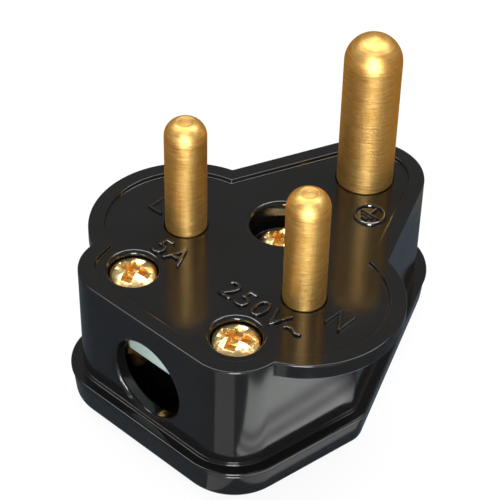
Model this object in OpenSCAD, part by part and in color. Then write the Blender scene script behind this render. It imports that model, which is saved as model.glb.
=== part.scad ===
// Rewireable three-pin plug with round pins, the earth pin longer and thicker.
// Millimetres. +Z points out of the pin face, +Y points to the earth pin and the cable enters at -Y.
// The origin is on the flat back, below the middle of the line and neutral pins.

/* [Pins] */
// Distance between the line pin and the neutral pin
pin_pitch = 19.05; // [18.6:0.05:19.8]
// Distance from the line of those two pins to the earth pin
earth_offset = 22.225; // [21.6:0.025:23]
// Diameter of the line and neutral pins
pin_d = 5.08; // [4.6:0.02:5.6]
// How far the line and neutral pins stand out of the face
pin_length = 14.86; // [12:0.02:18]
// Diameter of the flat on the end of those pins
pin_flat_d = 2.3; // [1.6:0.1:2.8]
// Height of their rounded end
pin_nose_h = 2; // [1.6:0.1:2.2]
// Diameter of the earth pin
earth_d = 7.06; // [6.6:0.02:7.4]
// How far the earth pin stands out of the face
earth_length = 20.57; // [17:0.01:24]
// Height of its domed end
earth_dome_h = 3.5; // [2.6:0.1:3.5]

/* [Body outline] */
// Distance from the line of the pins to the cable end
end_y = 16.5; // [16:0.1:18]
// Radius of the body's corners at the cable end
end_corner_r = 6; // [5.6:0.1:6.4]
// Distance of the middle of each of those corners from the centre line
end_corner_x = 8.6; // [8.4:0.1:9]
// Half width of the body at its side corners
side_half_w = 16.8; // [16.4:0.1:17.6]
// How far the side corners lie in front of the line of the pins
side_y = 1.1; // [0:0.1:2]
// Radius of the side corners
side_r = 2; // [1:0.1:3]
// Radius of the body round the earth pin
earth_wall_r = 7.5; // [7.3:0.1:8.2]
// Radius of the round lobes of the face, centred on the line and neutral pins
lobe_r = 11.85; // [11.6:0.05:13]

/* [Body heights and walls] */
// Height of the ledge where the walls meet the back cover
ledge_z = 4.5; // [3.8:0.1:5]
// Height of the walls from that ledge to the face
wall_h = 14.7; // [14.3:0.1:16]
// Thickness of the face at its lobes
face_t = 2.1; // [1.9:0.1:2.3]
// Width of the raised rim round the face
rim_w = 2; // [1.4:0.1:2.2]
// How far the floor of the face lies below that rim
rim_h = 0.45; // [0.3:0.05:0.6]
// Thickness of the side walls
wall = 1.8; // [1.5:0.1:1.8]
// Width of the ledge outside the walls
ledge_w = 1.5; // [1.3:0.1:2]
// Height of the step at the foot of the walls
foot_h = 0.35; // [0.2:0.05:0.6]
// How far that step stands out of the walls
foot_w = 0.15; // [0.1:0.05:0.25]
// Thickness of the flange's edge, which stands over the cover
flange_edge_t = 0.55; // [0.4:0.05:0.7]
// Bevel on the lower edge of the lobes and on the cover's rim
fine_bevel = 0.15; // [0.1:0.05:0.25]
// Bevel on the mouths of the holes
mouth_bevel = 0.35; // [0.2:0.05:0.5]

/* [Back cover] */
// Thickness of the cover's back
cover_t = 1.6; // [1.2:0.1:1.8]
// How far the flange's edge stands out of the cover
cover_inset = 0.2; // [0.1:0.05:0.3]
// Width of the cover's rim, which surrounds the step below the flange
cover_rim_w = 0.55; // [0.45:0.05:0.7]
// Thickness of the flange with the step below it
flange_t = 1.2; // [1.1:0.1:1.3]
// Radius of the cover's lower edge
cover_edge_r = 0.9; // [0.4:0.1:1.2]
// How far the cover draws in from its rim to its back
cover_draft = 0.25; // [0.1:0.05:0.4]

/* [Cable entry and cord clamp] */
// Diameter of the cable hole
cable_hole_d = 10.3; // [8:0.1:10.6]
// Depth of its centre below the face
cable_hole_drop = 8.7; // [8.3:0.1:9]
// Distance of each clamp screw from the centre line
clamp_screw_x = 8.3; // [8:0.1:9]
// Distance of the clamp screws from the cable end
clamp_screw_in = 6.4; // [6:0.1:7]
// How far the clamp bar reaches past the middle of its screws
bar_end = 2.7; // [2.4:0.1:3]
// Width of the clamp bar
bar_w = 5.6; // [5.4:0.1:6]
// Thickness of the clamp bar
bar_t = 3.2; // [2.6:0.1:3.4]
// Depth of the bar's underside below the face
bar_drop = 10.2; // [9.7:0.1:10.5]
// Height of the cord grip ridges on the underside of the face
ridge_h = 2.2; // [1.6:0.1:3]

/* [Screws] */
// Diameter of the screws' threads
screw_d = 3; // [2.6:0.1:3.2]
// Diameter of the clamp and cover screws' heads
head_d = 5.5; // [5.2:0.1:5.7]
// Height of those heads
head_h = 2; // [1.7:0.1:2.2]
// Diameter of the holes for the clamp screws' heads
clamp_recess_d = 6; // [5.9:0.1:6.4]
// Depth of the top of those heads below the face
clamp_head_drop = 0.2; // [0:0.1:0.9]
// Diameter of the hole for the cover screw's head
cover_recess_d = 7.9; // [7:0.1:8.2]
// Depth of the top of that head below the face
cover_head_drop = 2.4; // [2:0.1:3]
// Place of the cover screw across the body
cover_screw_x = -1.3; // [-1.6:0.1:0]
// Place of the cover screw in front of the line of the pins
cover_screw_y = 8.3; // [8:0.1:9]
// Width across flats of the clamp nuts
nut_w = 5.5; // [5:0.1:5.6]
// Thickness of the clamp nuts
nut_t = 2.4; // [2:0.1:2.6]

/* [Terminals] */
// Diameter of the line and neutral pillars inside the body
pillar_d = 7.4; // [6.8:0.1:7.8]
// Diameter of the earth pillar
earth_pillar_d = 8.4; // [8:0.1:8.8]
// Width across the flats of all three pillars
pillar_flat_w = 6.2; // [5.8:0.1:6.4]
// Length of the pillars
pillar_h = 8.5; // [8:0.1:8.8]
// Diameter of the wire holes
wire_hole_d = 3.2; // [2.6:0.1:3.4]
// Diameter of the terminal screws' heads
terminal_head_d = 5.5; // [5.3:0.1:5.8]
// Height of the terminal screws' heads
terminal_head_h = 1.8; // [1.6:0.1:2]

/* [Hidden] */
$fn = 72;
over = 0.5;
tuck = 0.004;

// Clearances: pins and screws in their holes, nuts and pillars in their pockets, threads in their nuts
slide_gap = 0.06;
screw_gap = 0.2;
pocket_gap = 0.1;
thread_gap = 0.03;
rim_gap = 0.15;
parting_gap = 0.1;
seat_gap = 0.1;

// Heights above the back
face_z = ledge_z + wall_h;
floor_z = face_z - rim_h;
face_under = face_z - face_t;
flange_under = ledge_z - flange_t;
edge_under = ledge_z - flange_edge_t;
cover_top = edge_under - parting_gap;
boss_t = 1.4;
column_web = 4;
pillar_top = face_under - boss_t;
pillar_under = pillar_top - pillar_h;
wire_z = pillar_under + 0.53 * pillar_h;
cable_z = face_z - cable_hole_drop;
bar_under = face_z - bar_drop;
bar_top = bar_under + bar_t;
clamp_seat = face_z - clamp_head_drop - head_h;
cover_seat = face_z - cover_head_drop - head_h;
column_under = cover_seat - column_web;
boss_top = column_under - seat_gap;

// Plan places
end_corner_y = end_y - end_corner_r;
clamp_y = end_y - clamp_screw_in;
side_x = side_half_w - side_r;
pin_x = pin_pitch / 2;
relief = 0.3;
relief_rise = 0.1;
relief_z = floor_z + relief_rise;
screw_wall = 1.2;
column_d = cover_recess_d + 2 * screw_wall;
column_bite = 0.2;
clamp_column_d = 2 * (end_corner_r - wall + column_bite);
insert_shell = 0.9;
insert_lip = 0.45;
insert_d = screw_d + 2 * insert_shell;
insert_h = 5.5;
insert_flange_d = insert_d + 2 * insert_lip;
insert_flange_h = 0.8;
insert_wall = 1.5;
cover_boss_d = insert_d + 2 * insert_wall;
wire_gap = 3;
rib_t = 1.2;
guide_w = 5;
stop_wall = 1;
screw_end_gap = 2.4;
barrier_gap = 1.2;
barrier_y = clamp_y - bar_w / 2 - barrier_gap;
ridge_half_l = end_corner_x - clamp_column_d / 2 + over;
slot_w = 0.8;
slot_depth = 0.9;

black = [0.06, 0.06, 0.065];
brass = [0.72, 0.55, 0.27];
yellow_zinc = [0.86, 0.76, 0.42];
pale = [0.78, 0.83, 0.8];

// Five circles whose outer tangents draw the body's outline, each grown by d
function body_circles(d) = [
    [end_corner_x, -end_corner_y, end_corner_r + d],
    [side_x, side_y, side_r + d],
    [0, earth_offset, earth_wall_r + d],
    [-side_x, side_y, side_r + d],
    [-end_corner_x, -end_corner_y, end_corner_r + d]
];

// The ends of the outer tangent of two circles, going anticlockwise, a hair inside it so that arc and line cross
function tangent(a, b) =
    let (
        span = [b.x - a.x, b.y - a.y],
        along = span / norm(span),
        lean = (a.z - b.z) / norm(span),
        out = along * lean + [along.y, -along.x] * sqrt(1 - lean * lean)
    )
    [[a.x, a.y] + (a.z - tuck) * out, [b.x, b.y] + (b.z - tuck) * out];

// Area inside the outer tangents of a ring of circles
module rounded_outline(circles) {
    last = len(circles) - 1;
    polygon([for (i = [0 : last]) each tangent(circles[i], circles[i == last ? 0 : i + 1])]);
    for (c = circles)
        if (c.z > 0)
            translate([c.x, c.y])
                circle(r = c.z);
}

// The body's outline, grown by d
module body_outline(d = 0) {
    rounded_outline(body_circles(d));
}

// The outline of the face: the body with a round lobe at the line and neutral pins
module face_outline(d = 0) {
    body_outline(d);
    for (side = [-1, 1])
        translate([side * pin_x, 0])
            circle(r = lobe_r + d);
}

// A solid of an outline between two heights
module slab(z0, z1) {
    translate([0, 0, z0])
        linear_extrude(height = z1 - z0)
            children();
}

// A round rod between two heights
module rod(d, z0, z1) {
    translate([0, 0, z0])
        cylinder(d = d, h = z1 - z0);
}

module at_pin(side) {
    translate([side * pin_x, 0, 0])
        children();
}

module at_earth() {
    translate([0, earth_offset, 0])
        children();
}

module at_end_corner(side) {
    translate([side * end_corner_x, -end_corner_y, 0])
        children();
}

module at_clamp(side) {
    translate([side * clamp_screw_x, -clamp_y, 0])
        children();
}

module at_cover_screw() {
    translate([cover_screw_x, cover_screw_y, 0])
        children();
}

// Boss that seats one pin's pillar, and ribs that hold the pillar by its flats
module pin_seat(d) {
    rib_x = pillar_flat_w / 2 + pocket_gap;
    rod(d, pillar_top, face_under + over);
    for (side = [-1, 1])
        translate([side * (rib_x + rib_t / 2), 0])
            slab(pillar_under + 1, face_under + over)
                square([rib_t, guide_w], center = true);
}

// Hole for one pin's shank, which is pushed in from behind
module pin_hole(d) {
    rod(d + 2 * slide_gap, pillar_top - over, face_z + over);
}

// Hole for a screw: a recess with a bevelled mouth for the head, and a way through for the shank
module screw_hole(d, seat_z, under_z) {
    rod(d, seat_z, face_z + over);
    rod(screw_d + 2 * screw_gap, under_z - over, seat_z + over);
    translate([0, 0, floor_z - mouth_bevel])
        cylinder(d1 = d, d2 = d + 2 * mouth_bevel + 2 * over, h = mouth_bevel + over);
}

// Ribs under the face that part the three terminals, clear of the cover's boss and of the wires
module barriers() {
    difference() {
        slab(pillar_under, face_under + over)
            intersection() {
                body_outline(-wall / 2);
                union() {
                    translate([-rib_t / 2, -barrier_y])
                        square([rib_t, barrier_y + cover_screw_y]);
                    for (side = [-1, 1])
                        translate([cover_screw_x, cover_screw_y])
                            rotate(90 - side * 62)
                                translate([column_d / 2 + wire_gap, -rib_t / 2])
                                    square([side_half_w, rib_t]);
                }
            }
        at_cover_screw()
            rod(cover_boss_d + 2 * screw_gap, 0, column_under);
    }
}

// The face: the body's outline and two lobes that stand over the walls, bevelled below
module face_plate() {
    slab(face_under, face_z)
        body_outline();
    for (side = [-1, 1])
        at_pin(side) {
            translate([0, 0, face_under])
                cylinder(r1 = lobe_r - fine_bevel, r2 = lobe_r, h = fine_bevel);
            rod(2 * lobe_r, face_under + fine_bevel, face_z);
        }
}

// Walls and flange, hollow below the face; the flange's edge lies over the cover's rim
module walls() {
    difference() {
        union() {
            slab(flange_under, face_under + fine_bevel)
                body_outline();
            slab(flange_under, ledge_z + foot_h)
                body_outline(foot_w);
            slab(edge_under, ledge_z)
                body_outline(ledge_w);
            slab(flange_under, edge_under + flange_edge_t / 2)
                body_outline(ledge_w - cover_inset - cover_rim_w - rim_gap);
        }
        slab(flange_under - over, face_under)
            body_outline(-wall);
    }
}

// Round hole in the end wall with a bevelled mouth
module cable_hole() {
    translate([0, -end_y, cable_z])
        rotate([-90, 0, 0]) {
            translate([0, 0, -over])
                cylinder(d = cable_hole_d, h = end_y - clamp_y - bar_w / 2 + over);
            translate([0, 0, -over])
                cylinder(d1 = cable_hole_d + 2 * mouth_bevel + 2 * over, d2 = cable_hole_d, h = mouth_bevel + over);
        }
}

module pin_carrier() {
    color(black)
    difference() {
        union() {
            walls();
            face_plate();
            for (side = [-1, 1]) {
                at_pin(side) pin_seat(pillar_d);
                at_end_corner(side)
                    rod(clamp_column_d, bar_top, face_under + over);
                translate([-ridge_half_l, side * bar_w / 4 - clamp_y - rib_t / 2, face_under - ridge_h])
                    cube([2 * ridge_half_l, rib_t, ridge_h + over]);
            }
            at_earth() pin_seat(earth_pillar_d);
            at_cover_screw()
                rod(column_d, column_under, face_under + over);
            barriers();
        }
        slab(floor_z, face_z + over)
            face_outline(-rim_w);
        at_pin(-1) pin_hole(pin_d);
        at_pin(1) pin_hole(pin_d);
        at_earth() pin_hole(earth_d);
        at_clamp(-1) screw_hole(clamp_recess_d, clamp_seat, bar_top);
        at_clamp(1) screw_hole(clamp_recess_d, clamp_seat, bar_top);
        at_cover_screw() screw_hole(cover_recess_d, cover_seat, column_under);
        cable_hole();
    }
}

// Cover without its hollow: a flat back with a drafted side, rounded below and bevelled above
module cover_shell() {
    rim_d = ledge_w - cover_inset;
    foot_d = rim_d - cover_draft;
    hull()
        for (c = body_circles(0))
            translate([c.x, c.y, 0])
                rotate_extrude($fn = 80) {
                    polygon([
                        [0, 0], [c.z + foot_d - cover_edge_r, 0], [c.z + foot_d - cover_edge_r, cover_edge_r],
                        [c.z + foot_d, cover_edge_r], [c.z + rim_d, cover_top - fine_bevel],
                        [c.z + rim_d - fine_bevel, cover_top], [0, cover_top]
                    ]);
                    translate([c.z + foot_d - cover_edge_r, cover_edge_r])
                        intersection() {
                            circle(r = cover_edge_r, $fn = 24);
                            translate([0, -cover_edge_r])
                                square(cover_edge_r);
                        }
                }
}

// Ring that holds one pillar down, with room inside for the terminal screw's head
module pillar_stop() {
    rod(terminal_head_d + 2 * (screw_gap + stop_wall), cover_t - over, pillar_under);
}

module back_cover() {
    color(black)
    difference() {
        union() {
            difference() {
                cover_shell();
                slab(flange_under, ledge_z + over)
                    body_outline(ledge_w - cover_inset - cover_rim_w);
                slab(cover_t, flange_under + over)
                    body_outline(-wall / 2);
            }
            at_pin(-1) pillar_stop();
            at_pin(1) pillar_stop();
            at_earth() pillar_stop();
            at_cover_screw()
                rod(cover_boss_d, cover_t - over, boss_top);
        }
        at_pin(-1) rod(terminal_head_d + 2 * screw_gap, cover_t, pillar_under + over);
        at_pin(1) rod(terminal_head_d + 2 * screw_gap, cover_t, pillar_under + over);
        at_earth() rod(terminal_head_d + 2 * screw_gap, cover_t, pillar_under + over);
        at_cover_screw() {
            rod(insert_d + 2 * thread_gap, boss_top - insert_h - seat_gap, boss_top + over);
            rod(insert_flange_d + 2 * thread_gap, boss_top - insert_flange_h, boss_top + over);
        }
    }
}

// Turned pin below its rounded end: shank, relieved neck in the face and flatted pillar with its two holes
module pin_body(d, shank_top, pillar) {
    rod(d, relief_z, shank_top);
    difference() {
        intersection() {
            union() {
                rod(d - 2 * relief, pillar_top - over, relief_z + over);
                rod(pillar, pillar_under, pillar_top);
            }
            slab(pillar_under - over, relief_z + 2 * over)
                square([pillar_flat_w, 2 * pillar], center = true);
        }
        rod(screw_d + 2 * thread_gap, pillar_under - over, wire_z);
        translate([0, -pillar, wire_z])
            rotate([-90, 0, 0])
                cylinder(d = wire_hole_d, h = 2 * pillar);
    }
}

// Rounded end of a line or neutral pin, with a small flat
module flat_nose() {
    flat_r = pin_flat_d / 2;
    pin_r = pin_d / 2;
    reach = pin_r - flat_r;
    round_r = (reach * reach + pin_nose_h * pin_nose_h) / (2 * reach);
    translate([0, 0, face_z + pin_length - pin_nose_h])
        rotate_extrude()
            intersection() {
                translate([pin_r - round_r, 0])
                    circle(r = round_r);
                square([pin_r, pin_nose_h]);
            }
}

// Domed end of the earth pin: a cap of a sphere
module dome() {
    r = earth_d / 2;
    cap_r = (r * r + earth_dome_h * earth_dome_h) / (2 * earth_dome_h);
    translate([0, 0, face_z + earth_length - earth_dome_h])
        rotate_extrude()
            intersection() {
                translate([0, earth_dome_h - cap_r])
                    circle(r = cap_r);
                square([r, earth_dome_h]);
            }
}

module pole_pin() {
    pin_body(pin_d, face_z + pin_length - pin_nose_h, pillar_d);
    flat_nose();
}

module line_pin() {
    color(brass)
        at_pin(-1) pole_pin();
}

module neutral_pin() {
    color(brass)
        at_pin(1) pole_pin();
}

module earth_pin() {
    color(brass)
        at_earth() {
            pin_body(earth_d, face_z + earth_length - earth_dome_h, earth_pillar_d);
            dome();
        }
}

// Slotted cheese head screw under one pillar, its end just short of the wire
module terminal_screw() {
    difference() {
        union() {
            rod(screw_d, pillar_under - over, wire_z - wire_hole_d / 2 + 0.2);
            rod(terminal_head_d, pillar_under - terminal_head_h, pillar_under);
        }
        translate([-terminal_head_d, -slot_w / 2, pillar_under - terminal_head_h - over])
            cube([2 * terminal_head_d, slot_w, over + slot_depth]);
    }
}

module line_terminal_screw() {
    color(brass)
        at_pin(-1) terminal_screw();
}

module neutral_terminal_screw() {
    color(brass)
        at_pin(1) terminal_screw();
}

module earth_terminal_screw() {
    color(brass)
        at_earth() terminal_screw();
}

module cord_clamp_bar() {
    end_r = bar_w / 2;
    end_x = clamp_screw_x + bar_end - end_r;
    color(pale)
    difference() {
        slab(bar_under, bar_top)
            union() {
                translate([0, -clamp_y])
                    square([2 * end_x, bar_w], center = true);
                for (side = [-1, 1])
                    translate([side * end_x, -clamp_y])
                        circle(r = end_r);
            }
        for (side = [-1, 1])
            at_clamp(side) {
                rod(screw_d + 2 * screw_gap, bar_under - over, bar_top + over);
                nut_pocket();
            }
    }
}

// Hexagonal pocket in the bar's underside, half as deep as the nut is thick
module nut_pocket() {
    translate([0, 0, bar_under - over])
        cylinder(d = (nut_w + 2 * pocket_gap) / cos(30), h = nut_t / 2 + over, $fn = 6);
}

// Pan head screw with a cross recess; the head's underside is at z = 0 and the shank goes down
module pan_screw(length) {
    edge_h = 0.55 * head_h;
    crown = head_h - edge_h;
    head_r = head_d / 2;
    crown_r = (head_r * head_r + crown * crown) / (2 * crown);
    difference() {
        union() {
            rod(screw_d, -length, over);
            rod(head_d, 0, edge_h);
            translate([0, 0, edge_h])
                rotate_extrude()
                    intersection() {
                        translate([0, crown - crown_r])
                            circle(r = crown_r);
                        square([head_r, crown]);
                    }
        }
        cross_recess();
    }
}

// Four tapered arms of the driver recess, cut from the crown of the head
module cross_recess() {
    arm_w = 0.19 * head_d;
    arm_l = 0.66 * head_d;
    depth = 0.62 * head_h;
    for (turn = [20, 110])
        rotate(turn)
            translate([0, 0, head_h - depth])
                rotate([90, 0, 0])
                    linear_extrude(height = arm_w, center = true)
                        polygon([
                            [-arm_l * 0.28, 0], [arm_l * 0.28, 0],
                            [arm_l / 2, depth + over], [-arm_l / 2, depth + over]
                        ]);
}

// The clamp screws are long enough to let the bar down for a thick cord
module clamp_screw(side) {
    at_clamp(side)
        translate([0, 0, clamp_seat])
            pan_screw(clamp_seat - cover_t - screw_end_gap);
}

module left_clamp_screw() {
    color(yellow_zinc)
        clamp_screw(-1);
}

module right_clamp_screw() {
    color(yellow_zinc)
        clamp_screw(1);
}

module clamp_nut(side) {
    at_clamp(side)
        difference() {
            translate([0, 0, bar_under - nut_t / 2])
                cylinder(d = nut_w / cos(30), h = nut_t, $fn = 6);
            rod(screw_d + 2 * thread_gap, bar_under - nut_t, bar_top);
        }
}

module left_clamp_nut() {
    color(yellow_zinc)
        clamp_nut(-1);
}

module right_clamp_nut() {
    color(yellow_zinc)
        clamp_nut(1);
}

module cover_screw() {
    color(yellow_zinc)
        at_cover_screw()
            translate([0, 0, cover_seat])
                pan_screw(cover_seat - boss_top + insert_h - 0.5);
}

module cover_screw_insert() {
    color(brass)
        at_cover_screw()
            difference() {
                union() {
                    rod(insert_d, boss_top - insert_h, boss_top);
                    rod(insert_flange_d, boss_top - insert_flange_h, boss_top);
                }
                rod(screw_d + 2 * thread_gap, boss_top - insert_h - over, boss_top + over);
            }
}

pin_carrier();
back_cover();
line_pin();
neutral_pin();
earth_pin();
line_terminal_screw();
neutral_terminal_screw();
earth_terminal_screw();
cord_clamp_bar();
left_clamp_screw();
right_clamp_screw();
left_clamp_nut();
right_clamp_nut();
cover_screw();
cover_screw_insert();
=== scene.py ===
"""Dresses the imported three-pin plug.

Gloss black mouldings with rounded edges, turned brass pins, zinc plated screws and a pale cord clamp.
Everything is in metres in the frame's own axes: +Z out of the pin face, +Y to the earth pin,
the cable at -Y.
"""

import contextlib
import math

import bmesh
import bpy
import numpy as np
from mathutils import Matrix, Vector


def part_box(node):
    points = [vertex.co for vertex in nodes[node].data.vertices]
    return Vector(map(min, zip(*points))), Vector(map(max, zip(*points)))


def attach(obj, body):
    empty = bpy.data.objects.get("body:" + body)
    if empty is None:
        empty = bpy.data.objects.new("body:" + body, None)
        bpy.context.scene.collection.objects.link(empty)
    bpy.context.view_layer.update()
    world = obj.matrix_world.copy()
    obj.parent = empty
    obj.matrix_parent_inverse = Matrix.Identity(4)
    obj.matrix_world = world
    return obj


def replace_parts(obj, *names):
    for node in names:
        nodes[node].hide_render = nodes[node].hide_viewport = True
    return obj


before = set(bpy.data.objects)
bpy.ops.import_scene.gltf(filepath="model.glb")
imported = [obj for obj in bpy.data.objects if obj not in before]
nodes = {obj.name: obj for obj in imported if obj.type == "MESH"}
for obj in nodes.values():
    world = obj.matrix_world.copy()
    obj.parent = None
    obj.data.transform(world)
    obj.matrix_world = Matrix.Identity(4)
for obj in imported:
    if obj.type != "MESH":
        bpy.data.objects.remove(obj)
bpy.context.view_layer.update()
scene = bpy.context.scene

MM = 0.001


# ---------------------------------------------------------------- places that the frame gives

def axis_of(node):
    """The middle of a node's box seen from above."""
    low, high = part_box(node)
    return Vector(((low[0] + high[0]) / 2, (low[1] + high[1]) / 2, 0))


LINE_AXIS, NEUTRAL_AXIS, EARTH_AXIS = axis_of("line_pin"), axis_of("neutral_pin"), axis_of("earth_pin")
LEFT_SCREW_AXIS = axis_of("left_clamp_screw")
RIM_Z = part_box("pin_carrier")[1][2]
RIM_DEPTH = 0.45 * MM
FLOOR_Z = RIM_Z - RIM_DEPTH


# ---------------------------------------------------------------- camera

VIEW_AZIMUTH = math.radians(-42.09)
VIEW_ELEVATION = math.radians(40.16)
VIEW_ROLL = math.radians(1.29)
VIEW_DISTANCE = 199.09 * MM
VIEW_POINT = Vector((0, 5 * MM, RIM_Z))
VIEW_SLIDE = (-2.677 * MM, -1.482 * MM)
VIEW_NEAR, VIEW_FAR = 0.005, 20
FOCAL_PX = 1664.3
FRAME_PX = 500
SENSOR_MM = 36


def place_camera():
    """Looks at a point of the rim plane, slid across and up the picture, then rolled about the view axis."""
    forward = Vector((
        math.sin(VIEW_AZIMUTH) * math.cos(VIEW_ELEVATION),
        math.cos(VIEW_AZIMUTH) * math.cos(VIEW_ELEVATION),
        -math.sin(VIEW_ELEVATION),
    ))
    level = Vector((math.cos(VIEW_AZIMUTH), -math.sin(VIEW_AZIMUTH), 0))
    upright = level.cross(forward)
    across = level * math.cos(VIEW_ROLL) + upright * math.sin(VIEW_ROLL)
    up = upright * math.cos(VIEW_ROLL) - level * math.sin(VIEW_ROLL)
    place = VIEW_POINT - forward * VIEW_DISTANCE + across * VIEW_SLIDE[0] + up * VIEW_SLIDE[1]
    lens = bpy.data.cameras.new("camera")
    lens.sensor_width = SENSOR_MM
    lens.lens = FOCAL_PX * SENSOR_MM / FRAME_PX
    lens.clip_start, lens.clip_end = VIEW_NEAR, VIEW_FAR
    camera = bpy.data.objects.new("camera", lens)
    camera.matrix_world = Matrix.Translation(place) @ Matrix((across, up, -forward)).transposed().to_4x4()
    scene.collection.objects.link(camera)
    scene.camera = camera


# ---------------------------------------------------------------- shader sums

class Value:
    """A socket that can be added, taken away, multiplied and raised, with numbers or other sockets."""

    def __init__(self, tree, socket):
        self.tree, self.socket = tree, socket

    def sum_with(self, operation, first, second):
        made = self.tree.nodes.new("ShaderNodeMath")
        made.operation = operation
        for slot, term in zip(made.inputs, (first, second)):
            if isinstance(term, Value):
                self.tree.links.new(term.socket, slot)
            else:
                slot.default_value = term
        return Value(self.tree, made.outputs[0])

    def __add__(self, other):
        return self.sum_with("ADD", self, other)

    def __radd__(self, other):
        return self.sum_with("ADD", other, self)

    def __sub__(self, other):
        return self.sum_with("SUBTRACT", self, other)

    def __rsub__(self, other):
        return self.sum_with("SUBTRACT", other, self)

    def __mul__(self, other):
        return self.sum_with("MULTIPLY", self, other)

    def __rmul__(self, other):
        return self.sum_with("MULTIPLY", other, self)

    def __pow__(self, other):
        return self.sum_with("POWER", self, other)


class Shader:
    """One node tree and the ways to fill it."""

    def __init__(self, owner):
        owner.use_nodes = True
        self.tree = owner.node_tree
        self.tree.nodes.clear()

    def node(self, kind, settings=None, sockets=None, out=0):
        """Makes a node, sets its settings first and then its sockets, and returns one output."""
        made = self.tree.nodes.new("ShaderNode" + kind)
        for name, value in (settings or {}).items():
            if name == "stops":
                ramp = made.color_ramp
                while len(ramp.elements) < len(value):
                    ramp.elements.new(0.5)
                for element, (place, colour) in zip(ramp.elements, value):
                    element.position, element.color = place, (*colour, 1)
            else:
                setattr(made, name, value)
        for name, value in (sockets or {}).items():
            slot = made.inputs[name]
            if isinstance(value, Value):
                self.tree.links.new(value.socket, slot)
            elif slot.type == "RGBA" and len(value) == 3:
                slot.default_value = (*value, 1)
            else:
                slot.default_value = value
        return Value(self.tree, made.outputs[out]) if made.outputs else made

    def place(self, scale=(1, 1, 1), centre=(0, 0, 0)):
        """Object coordinates in metres, stretched by scale after a shift to centre."""
        where = self.node("TexCoord", out="Object")
        shift = tuple(-c * s for c, s in zip(centre, scale))
        return self.node("Mapping", sockets={"Vector": where, "Location": shift, "Scale": scale})

    def noise(self, size, detail=2.0, rough=0.5, where=None, scale=(1, 1, 1)):
        """Smooth noise from 0 to 1 whose features are about size metres across."""
        where = where or self.place(scale)
        return self.node("TexNoise", sockets={
            "Vector": where, "Scale": 1 / size, "Detail": detail, "Roughness": rough})

    def split(self, vector):
        """The three parts of a vector."""
        parts = self.node("SeparateXYZ", sockets={"Vector": vector})
        return [Value(self.tree, out) for out in parts.socket.node.outputs]

    def join(self, x, y, z):
        """A vector of three parts."""
        return self.node("CombineXYZ", sockets={"X": x, "Y": y, "Z": z})

    def limits(self, value, low, high, start=0.0, end=1.0):
        """Value taken from low..high to start..end and kept there."""
        return self.node("MapRange", {"clamp": True}, {
            "Value": value, "From Min": low, "From Max": high, "To Min": start, "To Max": end})

    def blend(self, share, first, second):
        """First colour where share is 0, second where it is 1."""
        return self.node("Mix", {"data_type": "RGBA"}, {0: share, 6: first, 7: second}, out=2)

    def bump(self, height, depth, normal=None):
        """Normal of a height field, depth metres from lowest to highest, laid over another normal."""
        sockets = {"Height": height, "Distance": depth, "Strength": 1.0}
        if normal is not None:
            sockets["Normal"] = normal
        return self.node("Bump", sockets=sockets)

    def surface(self, shader):
        """Ends a material."""
        self.node("OutputMaterial", sockets={"Surface": shader})

    def principled(self, sockets):
        """Ends a material in the general surface with these sockets."""
        self.surface(self.node("BsdfPrincipled", sockets=sockets))


def finish_named(name):
    """A new material and its empty node tree."""
    material = bpy.data.materials.new(name)
    return material, Shader(material)


# ---------------------------------------------------------------- finishes

BLACK_DEEP, BLACK_LIGHT = (0.004, 0.004, 0.00425), (0.00675, 0.0065, 0.00625)
BLACK_GLOSS, MARK_GLOSS = 0.1, 0.06
BLACK_SHINE, MARK_SHINE = 0.5, 1.0
BLACK_IOR = 1.52

BRASS_DEEP, BRASS_LIGHT = (0.72, 0.36, 0.055), (0.95, 0.65, 0.24)
BRASS_GLANCING = (0.95, 0.62, 0.3)
PIN_DULL, TERMINAL_DULL = 0.33, 0.28
RING_DRIFT, STREAK_DRIFT = 0.004, 0.09

ZINC_FILM = (
    (0.30, (0.82, 0.82, 0.42)),
    (0.44, (0.98, 0.83, 0.44)),
    (0.57, (0.96, 0.70, 0.36)),
    (0.70, (0.92, 0.58, 0.44)),
)
# Painted shade on the zinc: a darker, browner tone that starts at the first depth below the crown and is full
# at the second depth, taking at most the given share
ZINC_RECESS_SHADE = (0.72, 0.40, 0.10)
ZINC_RECESS_SHADE_FROM, ZINC_RECESS_SHADE_TO, ZINC_RECESS_SHADE_SHARE = 0.45 * MM, 0.95 * MM, 0.85

PALE_DEEP, PALE_LIGHT = (0.27, 0.35, 0.32), (0.36, 0.44, 0.41)


def gloss_black(name, gloss, shine):
    """Moulded black plastic: a deep gloss with a faint flow of tone, slow sinks and a fine skin."""
    material, s = finish_named(name)
    flow = s.noise(size=9 * MM, detail=3, scale=(1, 1, 0.4))
    skin = s.noise(size=0.25 * MM, detail=2)
    haze = s.noise(size=3 * MM, detail=4, rough=0.6)
    sink = s.noise(size=6 * MM, detail=1)
    s.principled({
        "Base Color": s.blend(flow, BLACK_DEEP, BLACK_LIGHT),
        "Roughness": gloss + 0.05 * s.limits(haze, 0.35, 0.75) + 0.03 * skin,
        "Normal": s.bump(skin, depth=0.0006 * MM, normal=s.bump(sink, depth=0.03 * MM)),
        "IOR": BLACK_IOR,
        "Specular IOR Level": shine,
    })
    return material


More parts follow.
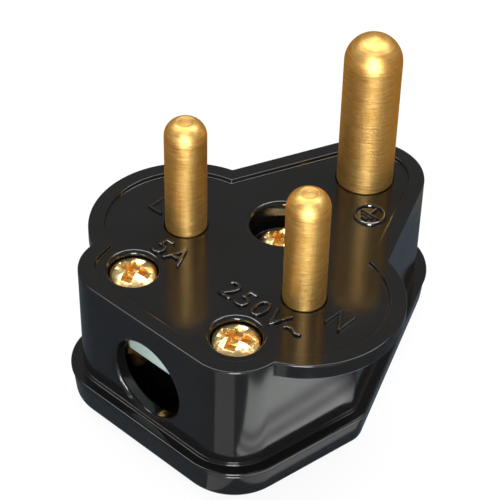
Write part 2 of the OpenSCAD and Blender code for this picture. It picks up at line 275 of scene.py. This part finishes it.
def turned_brass(name, axis, dull):
    """Brass turned on a lathe and brushed: fine rings round an upright axis, and short streaks and a stain.

    Rings and streaks are noise at (distance from the axis, drift * x, z), so they hardly change round
    the axis. The streaks drift more, which ends them sooner.
    """
    material, s = finish_named(name)
    x, y, z = s.split(s.place(centre=axis))
    out = (x ** 2 + y ** 2) ** 0.5
    rings = s.noise(size=0.05 * MM, detail=2, where=s.join(out, RING_DRIFT * x, z))
    streaks = s.noise(
        size=0.16 * MM, detail=3, rough=0.7, where=s.join(out + STREAK_DRIFT * y, STREAK_DRIFT * x, z))
    stain = s.noise(size=2.5 * MM, detail=4)
    s.principled({
        "Base Color": s.blend(0.75 * s.limits(streaks, 0.32, 0.6) + 0.25 * stain, BRASS_DEEP, BRASS_LIGHT),
        "Metallic": 1.0,
        "Roughness": dull + 0.12 * streaks + 0.05 * stain,
        "Normal": s.bump(streaks, depth=0.016 * MM, normal=s.bump(rings, depth=0.028 * MM)),
        "Specular Tint": BRASS_GLANCING,
    })
    return material


def yellow_zinc(name, top):
    """Zinc plate with a film that tints it pink, gold and green, and with painted shade below a crown at
    height top: a darker, browner tone in the recess and lower down.
    """
    material, s = finish_named(name)
    film = s.node("ValToRGB", {"stops": ZINC_FILM}, {"Fac": s.noise(size=1.0 * MM, detail=3)})
    below = top - s.split(s.place())[2]
    lumps = s.bump(s.noise(size=0.9 * MM, detail=1), depth=0.12 * MM)
    s.principled({
        # painted shade: below the crown the film colour is blended towards the browner recess tone
        "Base Color": s.blend(
            s.limits(below, ZINC_RECESS_SHADE_FROM, ZINC_RECESS_SHADE_TO, 0, ZINC_RECESS_SHADE_SHARE), film, ZINC_RECESS_SHADE),
        "Metallic": 1.0,
        "Roughness": 0.22 + 0.14 * s.noise(size=0.5 * MM),
        "Normal": s.bump(s.noise(size=0.12 * MM, detail=2), depth=0.003 * MM, normal=lumps),
    })
    return material


def pale_moulding(name):
    """Pale green-grey moulded plastic, a little cloudy."""
    material, s = finish_named(name)
    cloud = s.noise(size=2 * MM, detail=3)
    s.principled({
        "Base Color": s.blend(cloud, PALE_DEEP, PALE_LIGHT),
        "Roughness": 0.32 + 0.12 * cloud,
        "Normal": s.bump(s.noise(size=0.4 * MM), depth=0.001 * MM),
        "Subsurface Weight": 0.15,
        "Subsurface Scale": 1 * MM,
    })
    return material


# ---------------------------------------------------------------- meshes

@contextlib.contextmanager
def opened(mesh):
    """A mesh opened for editing and written back at the end."""
    work = bmesh.new()
    work.from_mesh(mesh)
    yield work
    work.to_mesh(mesh)
    work.free()


def grid_quads(rows, columns, closed=False):
    """Corner numbers of a grid's quads: a row closes on itself, and closed joins the last row to the first."""
    i, j = np.meshgrid(np.arange(rows if closed else rows - 1), np.arange(columns), indexing="ij")
    below, beside = (i + 1) % rows, (j + 1) % columns
    corners = (i * columns + j, i * columns + beside, below * columns + beside, below * columns + j)
    return np.stack(corners, -1).reshape(-1, 4)


def add_piece(name, mesh, finish):
    """Puts a mesh into the scene as a piece that rides on the one body."""
    piece = bpy.data.objects.new(name, mesh)
    scene.collection.objects.link(piece)
    mesh.materials.clear()
    mesh.materials.append(finish)
    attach(piece, "root")
    return piece


def paint(node, finish):
    """Gives a CAD node that stays a better finish."""
    mesh = nodes[node].data
    mesh.materials.clear()
    mesh.materials.append(finish)


# ---------------------------------------------------------------- mouldings with rounded edges

MERGE = 1e-7                        # corners that agree to this are one
WELD = 0.06 * MM                    # shorter edges would stop the rounding, so their ends are drawn together
FLAT_ANGLE = math.radians(0.5)      # faces that turn less are joined
SHARP_ANGLE = math.radians(30)      # an edge that turns more shades sharp
ROUNDED_ANGLE = math.radians(40)    # an edge that turns more is rounded
BESIDE_COS = 0.7                    # least cosine between two edges that run beside each other
ROOM_LEAST = 0.03 * MM              # edges nearer than this lie on one line
ROOM_FREE = 10                      # room of an edge with none beside it, in widest roundings
ROOM_SHARE = 0.42                   # share of its room that a rounding takes
ROUNDING_LEAST = 0.05               # share of the widest rounding that every rounded edge gets
ROUNDING_STEPS = 3
CARRIER_ROUNDING, COVER_ROUNDING, CLAMP_ROUNDING = 0.2 * MM, 0.15 * MM, 0.3 * MM


def merged_mesh(node, name):
    """A copy of a CAD node's mesh with its corners merged, short edges welded and flat faces joined."""
    source = nodes[node].data
    places = np.empty(len(source.vertices) * 3, np.float32)
    source.vertices.foreach_get("co", places)
    corners = np.empty(len(source.loops), np.int32)
    source.loops.foreach_get("vertex_index", corners)
    places = places.reshape(-1, 3).astype(float)
    _, first, group = np.unique(np.round(places / MERGE), axis=0, return_index=True, return_inverse=True)
    triangles = group.reshape(-1)[corners].reshape(-1, 3)
    turned = np.roll(triangles, 1, axis=1)
    mesh = bpy.data.meshes.new(name)
    mesh.from_pydata(places[first], [], triangles[(triangles != turned).all(axis=1)])
    with opened(mesh) as work:
        bmesh.ops.remove_doubles(work, verts=work.verts, dist=WELD)
        bmesh.ops.dissolve_limit(work, angle_limit=FLAT_ANGLE, verts=work.verts, edges=work.edges)
        for face in work.faces:
            face.smooth = True
    return mesh


def rounding_weights(mesh, widest):
    """Gives each edge that turns far enough its share of the widest rounding, and keeps slighter bends crisp.

    An edge may take ROOM_SHARE of its room, the way to the nearest such edge that runs beside it and
    doesn't meet it. That way is sqrt(apart^2 - ahead^2), where apart joins the two middles and ahead is
    its part along the edge.
    """
    with opened(mesh) as work:
        turns = [edge.calc_face_angle(0) if len(edge.link_faces) == 2 else 0 for edge in work.edges]
        for edge, turn in zip(work.edges, turns):
            edge.smooth = not SHARP_ANGLE < turn < ROUNDED_ANGLE
        sharp = [number for number, turn in enumerate(turns) if turn > SHARP_ANGLE]
        work.edges.ensure_lookup_table()
        ends = np.array([[tuple(vert.co) for vert in work.edges[number].verts] for number in sharp])
        joints = np.array([[vert.index for vert in work.edges[number].verts] for number in sharp])
    middle, span = ends.mean(axis=1), ends[:, 1] - ends[:, 0]
    length = np.linalg.norm(span, axis=1)
    along = span / length[:, None]
    apart = middle[None] - middle[:, None]
    ahead = np.abs(np.einsum("ijk,ik->ij", apart, along))
    beside = np.sqrt(np.maximum((apart ** 2).sum(-1) - ahead ** 2, 0))
    alike = np.abs(along @ along.T) > BESIDE_COS
    meets = (joints[:, None, :, None] == joints[None, :, None, :]).any(axis=(2, 3))
    reach = 0.5 * (length[:, None] + length[None])
    rivals = alike & ~meets & (ahead < reach) & (beside > ROOM_LEAST)
    room = np.where(rivals, beside, ROOM_FREE * widest).min(axis=1)
    share = np.clip(ROOM_SHARE * room / widest, ROUNDING_LEAST, 1)
    weights = np.zeros(len(mesh.edges), np.float32)
    weights[sharp] = np.where(np.array(turns)[sharp] > ROUNDED_ANGLE, share, 0)
    mesh.attributes.new("bevel_weight_edge", "FLOAT", "EDGE").data.foreach_set("value", weights)


def rounded_piece(node, name, finish, widest):
    """A merged copy of a CAD node with its sharp edges rounded."""
    mesh = merged_mesh(node, name)
    rounding_weights(mesh, widest)
    piece = add_piece(name, mesh, finish)
    edges = piece.modifiers.new("edges", "BEVEL")
    edges.width = widest
    edges.segments = ROUNDING_STEPS
    edges.limit_method = "WEIGHT"
    edges.use_clamp_overlap = False
    edges.harden_normals = True
    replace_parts(piece, node)
    return piece


# ---------------------------------------------------------------- screws with a cross in the head

HEAD_H = 2 * MM
HEAD_EDGE_H = 1.1 * MM
HEAD_EDGE_ROUND = 0.15 * MM
NECK_ROUND = 0.12 * MM
SHANK_R = 1.5 * MM
TIP_CHAMFER = 0.3 * MM
CROWN_ROWS = 80
CROWN_START = 0.985                 # where the crown starts, in head radii
TURN_STEPS = 144

# The recess, in head radii where it is not a depth or an angle
RECESS_TURN = math.radians(20)
RECESS_DEPTH = 1.25 * MM
ARM_REACH, ARM_END_SLOPE = 0.80, 0.45
ARM_HALF_W, ARM_SIDE_SLOPE = 0.24, 0.09
ARM_RISE_FROM, ARM_RISE = 0.2, 0.55


def cross_head_screw(node, name):
    """A pan head screw as one surface carried round its axis.

    The profile goes up the shank, out under the head, up its edge and in over the crown, where
    z = edge + (top - edge) * (1 - r^2), with r in head radii.
    With along the greater and beside the lesser distance from the two lines across the cross's arms,
    the crown sinks by depth * least((reach - along) / end slope, (half width - beside) / side slope),
    kept within 0 and 1, and times 1 - rise * (along - rise start), so that the arms get shallower outwards.
    """
    low, high = (Vector(corner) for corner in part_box(node))
    axis, head_r = (low + high) / 2, (high.x - low.x) / 2
    edge_z, seat_z = high.z - HEAD_H + HEAD_EDGE_H, high.z - HEAD_H
    outer = (
        (0, low.z),
        (SHANK_R - TIP_CHAMFER, low.z),
        (SHANK_R, low.z + TIP_CHAMFER),
        (SHANK_R, seat_z - NECK_ROUND),
        (SHANK_R + NECK_ROUND, seat_z),
        (head_r - HEAD_EDGE_ROUND, seat_z),
        (head_r, seat_z + HEAD_EDGE_ROUND),
        (head_r, edge_z - HEAD_EDGE_ROUND),
        (head_r, edge_z),
    )
    share = np.linspace(CROWN_START, 0, CROWN_ROWS)
    radius = np.concatenate([[r for r, _ in outer], head_r * share])
    height = np.concatenate([[z for _, z in outer], edge_z + (high.z - edge_z) * (1 - share ** 2)])
    turn = np.linspace(0, 2 * np.pi, TURN_STEPS, endpoint=False)
    x, y = np.outer(radius, np.cos(turn)), np.outer(radius, np.sin(turn))
    z = np.repeat(height[:, None], TURN_STEPS, 1)
    cos, sin = math.cos(RECESS_TURN), math.sin(RECESS_TURN)
    arms = np.abs(np.stack((x * cos + y * sin, y * cos - x * sin)) / head_r)[:, len(outer):]
    along, beside = arms.max(0), arms.min(0)
    sunk = np.clip(np.minimum(
        (ARM_REACH - along) / ARM_END_SLOPE, (ARM_HALF_W - beside) / ARM_SIDE_SLOPE), 0, 1)
    z[len(outer):] -= RECESS_DEPTH * sunk * (1 - ARM_RISE * np.clip(along - ARM_RISE_FROM, 0, 1))
    places = np.stack((x + axis.x, y + axis.y, z), -1)
    mesh = bpy.data.meshes.new(name)
    mesh.from_pydata(places.reshape(-1, 3), [], grid_quads(radius.size, TURN_STEPS).tolist())
    with opened(mesh) as work:
        bmesh.ops.remove_doubles(work, verts=work.verts, dist=MERGE)
        bmesh.ops.recalc_face_normals(work, faces=work.faces)
        for face in work.faces:
            face.smooth = True
        for edge in work.edges:
            edge.smooth = len(edge.link_faces) < 2 or edge.calc_face_angle(0) < SHARP_ANGLE
    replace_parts(add_piece(name, mesh, yellow_zinc(node + "_zinc", high.z)), node)


# ---------------------------------------------------------------- marks on the face

MARK_H = 2.9 * MM
MARK_W = 1.95 * MM
MARK_LINE = 0.44 * MM
MARK_RISE = 0.34 * MM
MARK_SUNK = 0.02 * MM               # how far the marks reach into the floor of the face
MARK_EDGE = 0.1 * MM
MARK_EDGE_STEPS = 3
CAPITAL_SHARE = 0.7                 # height of a capital in the font's own size
LETTER_GAP = 1.1
STROKE_POINTS = 9
RING_STEPS = 64

# Where the marks stand, from the axes of the pins and the clamp screws
LINE_MARK_OFF = (-5.5 * MM, -0.75 * MM)
NEUTRAL_MARK_OFF = (4.65 * MM, -1.7 * MM)
EARTH_MARK_OFF = (5.3 * MM, -5.4 * MM)
RATING_OFF = 3.7 * MM
CURRENT_MARK_X, VOLTAGE_MARK_X = -9.6 * MM, 1.7 * MM

EARTH_RING_R = 1.85 * MM
EARTH_STEM = 1.35 * MM
EARTH_BAR_HALVES = (1.25 * MM, 0.8 * MM, 0.4 * MM)
EARTH_BAR_STEP = 0.5 * MM


def words_mesh(name, words, corner):
    """Raised words as a mesh: corner is the lower left of the first letter on the face's floor."""
    curve = bpy.data.curves.new(name, "FONT")
    curve.body = words
    curve.size = MARK_H / CAPITAL_SHARE
    curve.extrude = MARK_RISE / 2 - MARK_EDGE
    curve.bevel_depth = MARK_EDGE
    curve.bevel_resolution = MARK_EDGE_STEPS
    curve.offset = -MARK_EDGE
    curve.space_character = LETTER_GAP
    holder = bpy.data.objects.new(name, curve)
    scene.collection.objects.link(holder)
    mesh = bpy.data.meshes.new_from_object(holder.evaluated_get(bpy.context.evaluated_depsgraph_get()))
    bpy.data.objects.remove(holder)
    mesh.transform(Matrix.Translation((*corner, FLOOR_Z + MARK_RISE / 2 - MARK_SUNK)))
    mesh.name = name
    return mesh


def bars_and_rings(name, bars, rings=()):
    """Raised strokes with rounded tops, carried between a bar's two ends or round a ring.

    Their profile is half an ellipse, (-half * cos t, rise * sin t - sunk) for t from 0 to pi.
    """
    turn = np.linspace(0, np.pi, STROKE_POINTS)
    profile = np.stack((-MARK_LINE / 2 * np.cos(turn), MARK_RISE * np.sin(turn) - MARK_SUNK), 1)
    places, faces = [], []

    def carry(spine, closed):
        """Sweeps the profile along a flat path: each point of the path gives one row, set across the path."""
        along = np.roll(spine, -1, 0) - np.roll(spine, 1, 0) if closed else np.gradient(spine, axis=0)
        along = along / np.linalg.norm(along, axis=1)[:, None]
        across = np.stack((along[:, 1], -along[:, 0]), 1)
        rows, columns = len(spine), len(profile)
        grid = np.empty((rows, columns, 3))
        grid[:, :, :2] = spine[:, None] + across[:, None] * profile[None, :, :1]
        grid[:, :, 2] = FLOOR_Z + profile[None, :, 1]
        start = sum(len(made) for made in places)
        places.append(grid.reshape(-1, 3))
        faces.extend((grid_quads(rows, columns, closed) + start).tolist())
        if not closed:
            faces.append([start + column for column in range(columns)][::-1])
            faces.append([start + (rows - 1) * columns + column for column in range(columns)])

    for ends in bars:
        carry(np.array(ends), False)
    for centre, radius in rings:
        turn = np.linspace(0, 2 * np.pi, RING_STEPS, endpoint=False)
        carry(np.array(centre) + radius * np.stack((np.cos(turn), np.sin(turn)), 1), True)
    mesh = bpy.data.meshes.new(name)
    mesh.from_pydata(np.concatenate(places), [], faces)
    with opened(mesh) as work:
        bmesh.ops.recalc_face_normals(work, faces=work.faces)
    return mesh


def letter_l():
    """An upright and a foot, whose start closes the corner."""
    x, y = LINE_AXIS.x + LINE_MARK_OFF[0], LINE_AXIS.y + LINE_MARK_OFF[1]
    return [((x, y + MARK_H), (x, y)), ((x - MARK_LINE / 2, y), (x + MARK_W, y))]


def letter_n():
    """Two uprights and the slope between them."""
    x, y = NEUTRAL_AXIS.x + NEUTRAL_MARK_OFF[0], NEUTRAL_AXIS.y + NEUTRAL_MARK_OFF[1]
    right, top = x + MARK_W, y + MARK_H
    return [((x, y), (x, top)), ((x, top), (right, y)), ((right, y), (right, top))]


def earth_sign():
    """A stem on three bars that get shorter, and the ring round them."""
    x, y = EARTH_AXIS.x + EARTH_MARK_OFF[0], EARTH_AXIS.y + EARTH_MARK_OFF[1]
    bars = [((x, y), (x, y + EARTH_STEM))]
    for step, half in enumerate(EARTH_BAR_HALVES):
        level = y - step * EARTH_BAR_STEP
        bars.append(((x - half, level), (x + half, level)))
    return bars, [((x, y), EARTH_RING_R)]


def add_marks(finish):
    """L and N beside their pins, the earth sign in its ring, and a plain rating between the clamp screws."""
    rating_y = LEFT_SCREW_AXIS.y + RATING_OFF
    marks = {
        "line_mark": bars_and_rings("line_mark", letter_l()),
        "neutral_mark": bars_and_rings("neutral_mark", letter_n()),
        "earth_mark": bars_and_rings("earth_mark", *earth_sign()),
        "current_mark": words_mesh("current_mark", "5A", (CURRENT_MARK_X, rating_y)),
        "voltage_mark": words_mesh("voltage_mark", "250V~", (VOLTAGE_MARK_X, rating_y)),
    }
    for name, mesh in marks.items():
        add_piece(name, mesh, finish)


# ---------------------------------------------------------------- studio

# Lamps: name, direction from the plug, width and height, how many times brighter than white they
# look, and the direction their width lies along
LAMPS = (
    ("key_lamp", (0.64, -0.73, 0.24), (0.2, 0.42), 19, (0.742, 0.67, 0)),
    ("top_lamp", (-0.15, 0.19, 0.9), (0.92, 0.2), 7.5, (0.81, 0.69, -0.08)),
)
LAMP_DISTANCE = 0.6
LAMP_AIM = Vector((0, 3 * MM, 12 * MM))

# Cards: name, corners in mm, strength, colour, and bands across the side wall where they are dimmer,
# each with its middle and width in mm and the share it takes away
CARDS = (
    ("cover_card", ((15.6, -17.5), (17.3, -17.5), (22.3, 9), (20.6, 9)), 0.8, (0.98, 0.98, 1), ()),
    ("right_card", ((17.4, -19), (31, -19), (31, 9), (22.4, 9)), 2.4, (0.96, 1.0, 0.97),
     ((22.2, 0.9, 0.6), (24.4, 1.1, 0.6))),
    ("front_card", ((10.4, -17.4), (10.4, -70), (62, -70), (14.9, -17.4)), 0.62, (0.98, 0.98, 1), ()),
    ("far_card", ((7.89, -53.49), (119.38, -296.3), (290.04, -142.2), (59.83, -6.59)), 1.5,
     (1, 0.99, 0.97), ()),
)
CARD_Z = 0.1 * MM
WALL_OUT = (0.984, -0.178)          # the way that the right side wall faces
BAND_CORE = 0.4                     # share of a band's width at its full depth
FADE_FROM, FADE_TO, FADE_LEFT = 4 * MM, 8 * MM, 0.12

WHITE, BLACK = (1, 1, 1), (0, 0, 0)
STAGE_FLOOR_HALF, STAGE_FLOOR_Z = 4, -0.02 * MM
STAGE_FLOOR_SEEN = 0.87             # how white the floor looks by itself, the rest takes the shadow
STAGE_FLOOR_PLAIN = (0.92, 0.92, 0.92)
FLOOR_NEAR, FLOOR_FAR = (0.1, 0.125, 0.148), (0.32, 0.23, 0.14)
FLOOR_NEAR_R, FLOOR_FAR_R = 42 * MM, 60 * MM

ROOM_LIGHT = (0.45, 0.45, 0.45)
ROOM_BRIGHT, ROOM_FOOT, ROOM_BACK = (1, 1, 0.98), (0.32, 0.235, 0.15), (0.255, 0.25, 0.245)
ROOM_BRIGHT_SIDE = Vector((0.67, -0.742, -0.1)).normalized()
ROOM_BRIGHT_FROM, ROOM_BRIGHT_TO = 0.5, 0.96
ROOM_FOOT_TO, ROOM_BACK_FROM = 0.15, 0.45


def add_lamp(name, direction, size, glow, along):
    """A soft lamp in a direction from the plug and turned to it, with its width laid along another."""
    lamp = bpy.data.lights.new(name, "AREA")
    lamp.shape, lamp.energy = "RECTANGLE", glow * math.pi * size[0] * size[1]
    lamp.size, lamp.size_y = size
    holder = bpy.data.objects.new(name, lamp)
    way = Vector(direction).normalized()
    high = way.cross(Vector(along)).normalized()
    turned = Matrix((high.cross(way), high, way)).transposed().to_4x4()
    holder.matrix_world = Matrix.Translation(LAMP_AIM + way * LAMP_DISTANCE) @ turned
    scene.collection.objects.link(holder)


def flat_panel(name, corners, z, finish):
    """A level face of the stage."""
    mesh = bpy.data.meshes.new(name)
    mesh.from_pydata([(x, y, z) for x, y in corners], [], [range(len(corners))])
    mesh.materials.append(finish)
    made = bpy.data.objects.new(name, mesh)
    scene.collection.objects.link(made)
    return made


def add_floor():
    """White to the camera with a faint shadow, and dim, with a warm far part, to what mirrors it."""
    material, s = finish_named("floor_white")
    seen = s.node("LightPath", out="Is Camera Ray")
    mirrored = s.node("LightPath", out="Is Glossy Ray") + s.node("LightPath", out="Is Transmission Ray")
    x, y, _ = s.split(s.place())
    away = (x * x + y * y) ** 0.5
    room = s.blend(s.limits(away, FLOOR_NEAR_R, FLOOR_FAR_R), FLOOR_NEAR, FLOOR_FAR)
    plain = s.node("BsdfDiffuse", sockets={"Color": STAGE_FLOOR_PLAIN})
    glow = s.node("Emission", sockets={"Color": s.blend(mirrored, WHITE, room), "Strength": 1.0})
    s.surface(s.node("MixShader", sockets={0: STAGE_FLOOR_SEEN * seen + mirrored, 1: plain, 2: glow}))
    half = STAGE_FLOOR_HALF
    flat_panel("floor", ((-half, -half), (half, -half), (half, half), (-half, half)), STAGE_FLOOR_Z, material)


def add_card(name, corners, strength, colour, bands):
    """A lit card beside the plug that shows only in what mirrors it. A banded card also fades towards +Y."""
    material, s = finish_named(name)
    x, y, _ = s.split(s.place())
    out = x * WALL_OUT[0] + y * WALL_OUT[1]
    if bands:
        level = s.limits(y, FADE_FROM, FADE_TO, 1, FADE_LEFT)
        for middle, width, depth in bands:
            near = s.node("Math", {"operation": "ABSOLUTE"}, {0: out - middle * MM})
            level = level * s.limits(near, width * MM * BAND_CORE, width * MM, 1 - depth, 1)
        colour = s.blend(level, BLACK, colour)
    s.surface(s.node("Emission", sockets={"Color": colour, "Strength": strength}))
    card = flat_panel(name, [(x * MM, y * MM) for x, y in corners], CARD_Z, material)
    card.visible_camera = card.visible_diffuse = card.visible_shadow = card.visible_transmission = False


def add_world():
    """White to the camera and an even light on matt surfaces. What mirrors it sees a dim room.

    That room has a warm foot and is bright at the front right.
    """
    world = bpy.data.worlds.new("room")
    scene.world = world
    s = Shader(world)
    seen = s.node("LightPath", out="Is Camera Ray")
    mirrored = s.node("LightPath", out="Is Glossy Ray")
    way = s.node("TexCoord", out="Generated")
    facing = s.node("VectorMath", {"operation": "DOT_PRODUCT"}, {0: way, 1: ROOM_BRIGHT_SIDE}, out="Value")
    side = s.node("MapRange", {"interpolation_type": "SMOOTHSTEP"}, {
        "Value": facing, "From Min": ROOM_BRIGHT_FROM, "From Max": ROOM_BRIGHT_TO})
    back = s.blend(s.limits(s.split(way)[2], ROOM_FOOT_TO, ROOM_BACK_FROM), ROOM_FOOT, ROOM_BACK)
    room = s.blend(side, back, ROOM_BRIGHT)
    shade = s.blend(mirrored, s.blend(seen, ROOM_LIGHT, WHITE), room)
    s.node("OutputWorld", sockets={
        "Surface": s.node("Background", sockets={"Color": shade, "Strength": 1.0})})


# ---------------------------------------------------------------- build

place_camera()
add_world()
add_floor()
for card in CARDS:
    add_card(*card)
for lamp in LAMPS:
    add_lamp(*lamp)

black = gloss_black("black_moulding_gloss", BLACK_GLOSS, BLACK_SHINE)
pale = pale_moulding("pale_clamp_moulding")

rounded_piece("pin_carrier", "carrier_moulding", black, CARRIER_ROUNDING)
rounded_piece("back_cover", "cover_moulding", black, COVER_ROUNDING)
rounded_piece("cord_clamp_bar", "clamp_bar_moulding", pale, CLAMP_ROUNDING)
for node in ("line_pin", "neutral_pin", "earth_pin"):
    paint(node, turned_brass(node + "_brass", axis_of(node), PIN_DULL))
for node in ("line_terminal_screw", "neutral_terminal_screw", "earth_terminal_screw", "cover_screw_insert"):
    paint(node, turned_brass(node + "_brass", axis_of(node), TERMINAL_DULL))
for side in ("left", "right"):
    cross_head_screw(side + "_clamp_screw", side + "_screw_plated")
    paint(side + "_clamp_nut", yellow_zinc(side + "_nut_zinc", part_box(side + "_clamp_nut")[1][2]))
cross_head_screw("cover_screw", "cover_screw_plated")
add_marks(gloss_black("black_mark_gloss", MARK_GLOSS, MARK_SHINE))

scene.view_settings.view_transform = "Standard"
